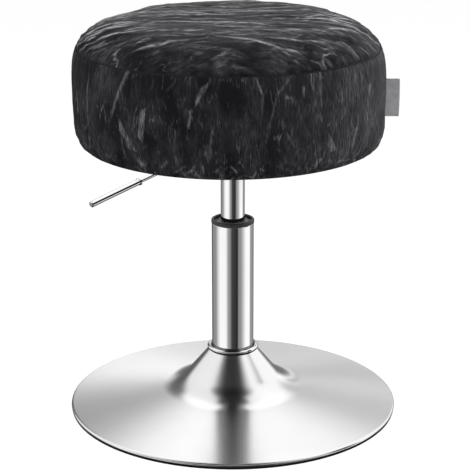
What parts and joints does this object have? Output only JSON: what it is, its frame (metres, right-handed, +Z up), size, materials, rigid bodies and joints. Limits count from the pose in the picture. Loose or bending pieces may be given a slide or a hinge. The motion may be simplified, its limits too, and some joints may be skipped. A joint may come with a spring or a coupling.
{
  "type": "vanity stool",
  "caption": "Round padded vanity stool: velvet-covered swivel seat on a gas lift column with a height lever, standing on a trumpet-shaped base.",
  "frame": {"origin": "on the floor, under the axis of the column", "axes": "+Z up along the column's axis, +X towards the side tag, -Y towards the viewer of the picture"},
  "size_m": [0.385, 0.385, 0.464],
  "materials": {
    "chrome": "polished chrome plate",
    "satin_chrome": "satin chrome plate on spun steel",
    "bare_steel": "turned steel",
    "black_steel": "black powder coat",
    "zinc": "zinc plate",
    "brass": "machined brass",
    "rubber": "matt rubber",
    "dark_plastic": "moulded dark grey plastic",
    "grey_plastic": "moulded grey plastic",
    "plywood": "raw plywood",
    "foam": "polyurethane foam",
    "velvet": "crushed black velvet",
    "lining": "black non-woven cloth",
    "thread": "black thread",
    "ribbon": "grey satin ribbon"
  },
  "bodies": {
    "base": {"base_shell": "satin_chrome", "floor_ring": "rubber", "hub_sleeve": "black_steel", "hub_gussets": "black_steel", "trim_ring": "chrome", "column_tube": "chrome", "foot_plate": "bare_steel", "lower_race": "bare_steel", "ball_cage": "brass", "bearing_balls": "bare_steel", "guide_bush": "grey_plastic", "collar_cap": "dark_plastic"},
    "rod": {"upper_race": "bare_steel", "rubber_buffer": "rubber", "piston_rod": "chrome", "clip_washer": "zinc", "rod_clip": "zinc", "piston": "bare_steel", "piston_ring": "rubber"},
    "seat": {"gas_tube": "chrome", "inner_cylinder": "bare_steel", "rod_guide": "zinc", "rod_seal": "rubber", "valve_body": "brass", "valve_seal": "rubber", "taper_socket": "black_steel", "seat_plate": "black_steel", "pivot_bracket": "black_steel", "pivot_pin": "zinc", "pivot_clip": "zinc", "plate_bolts": "zinc", "flat_washers": "zinc", "spring_washers": "zinc", "tee_nuts": "zinc", "seat_board": "plywood", "foam_pad": "foam", "foam_edge": "foam", "wadding": "foam", "cover_top": "velvet", "cover_band": "velvet", "seam_thread": "thread", "dust_cover": "lining", "side_tag": "ribbon"},
    "lever": {"lever_rod": "chrome", "lever_sleeve": "chrome", "sleeve_bead": "chrome", "lever_cap": "chrome"},
    "release": {"release_pin": "bare_steel"}
  },
  "joints": [
    {"name": "seat_swivel", "type": "hinge", "parent": "base", "child": "rod", "pos_m": [0, 0, 0], "axis": [0, 0, 1], "continuous": true},
    {"name": "seat_height", "type": "slide", "parent": "rod", "child": "seat", "axis": [0, 0, 1], "range_m": [-0.048, 0.072]},
    {"name": "lever_lift", "type": "hinge", "parent": "seat", "child": "lever", "pos_m": [-0.02121, -0.02121, 0.3105], "axis": [-0.7071, 0.7071, 0], "range_deg": [0, 5], "stiffness_Nm_per_rad": 3, "springref_deg": -2.86},
    {"name": "pin_press", "type": "slide", "parent": "seat", "child": "release", "axis": [0, 0, -1], "range_m": [0, 0.0027]}
  ],
  "couplings": [
    {"joint": "pin_press", "follows": "lever_lift", "m_per_rad": 0.03}
  ]
}
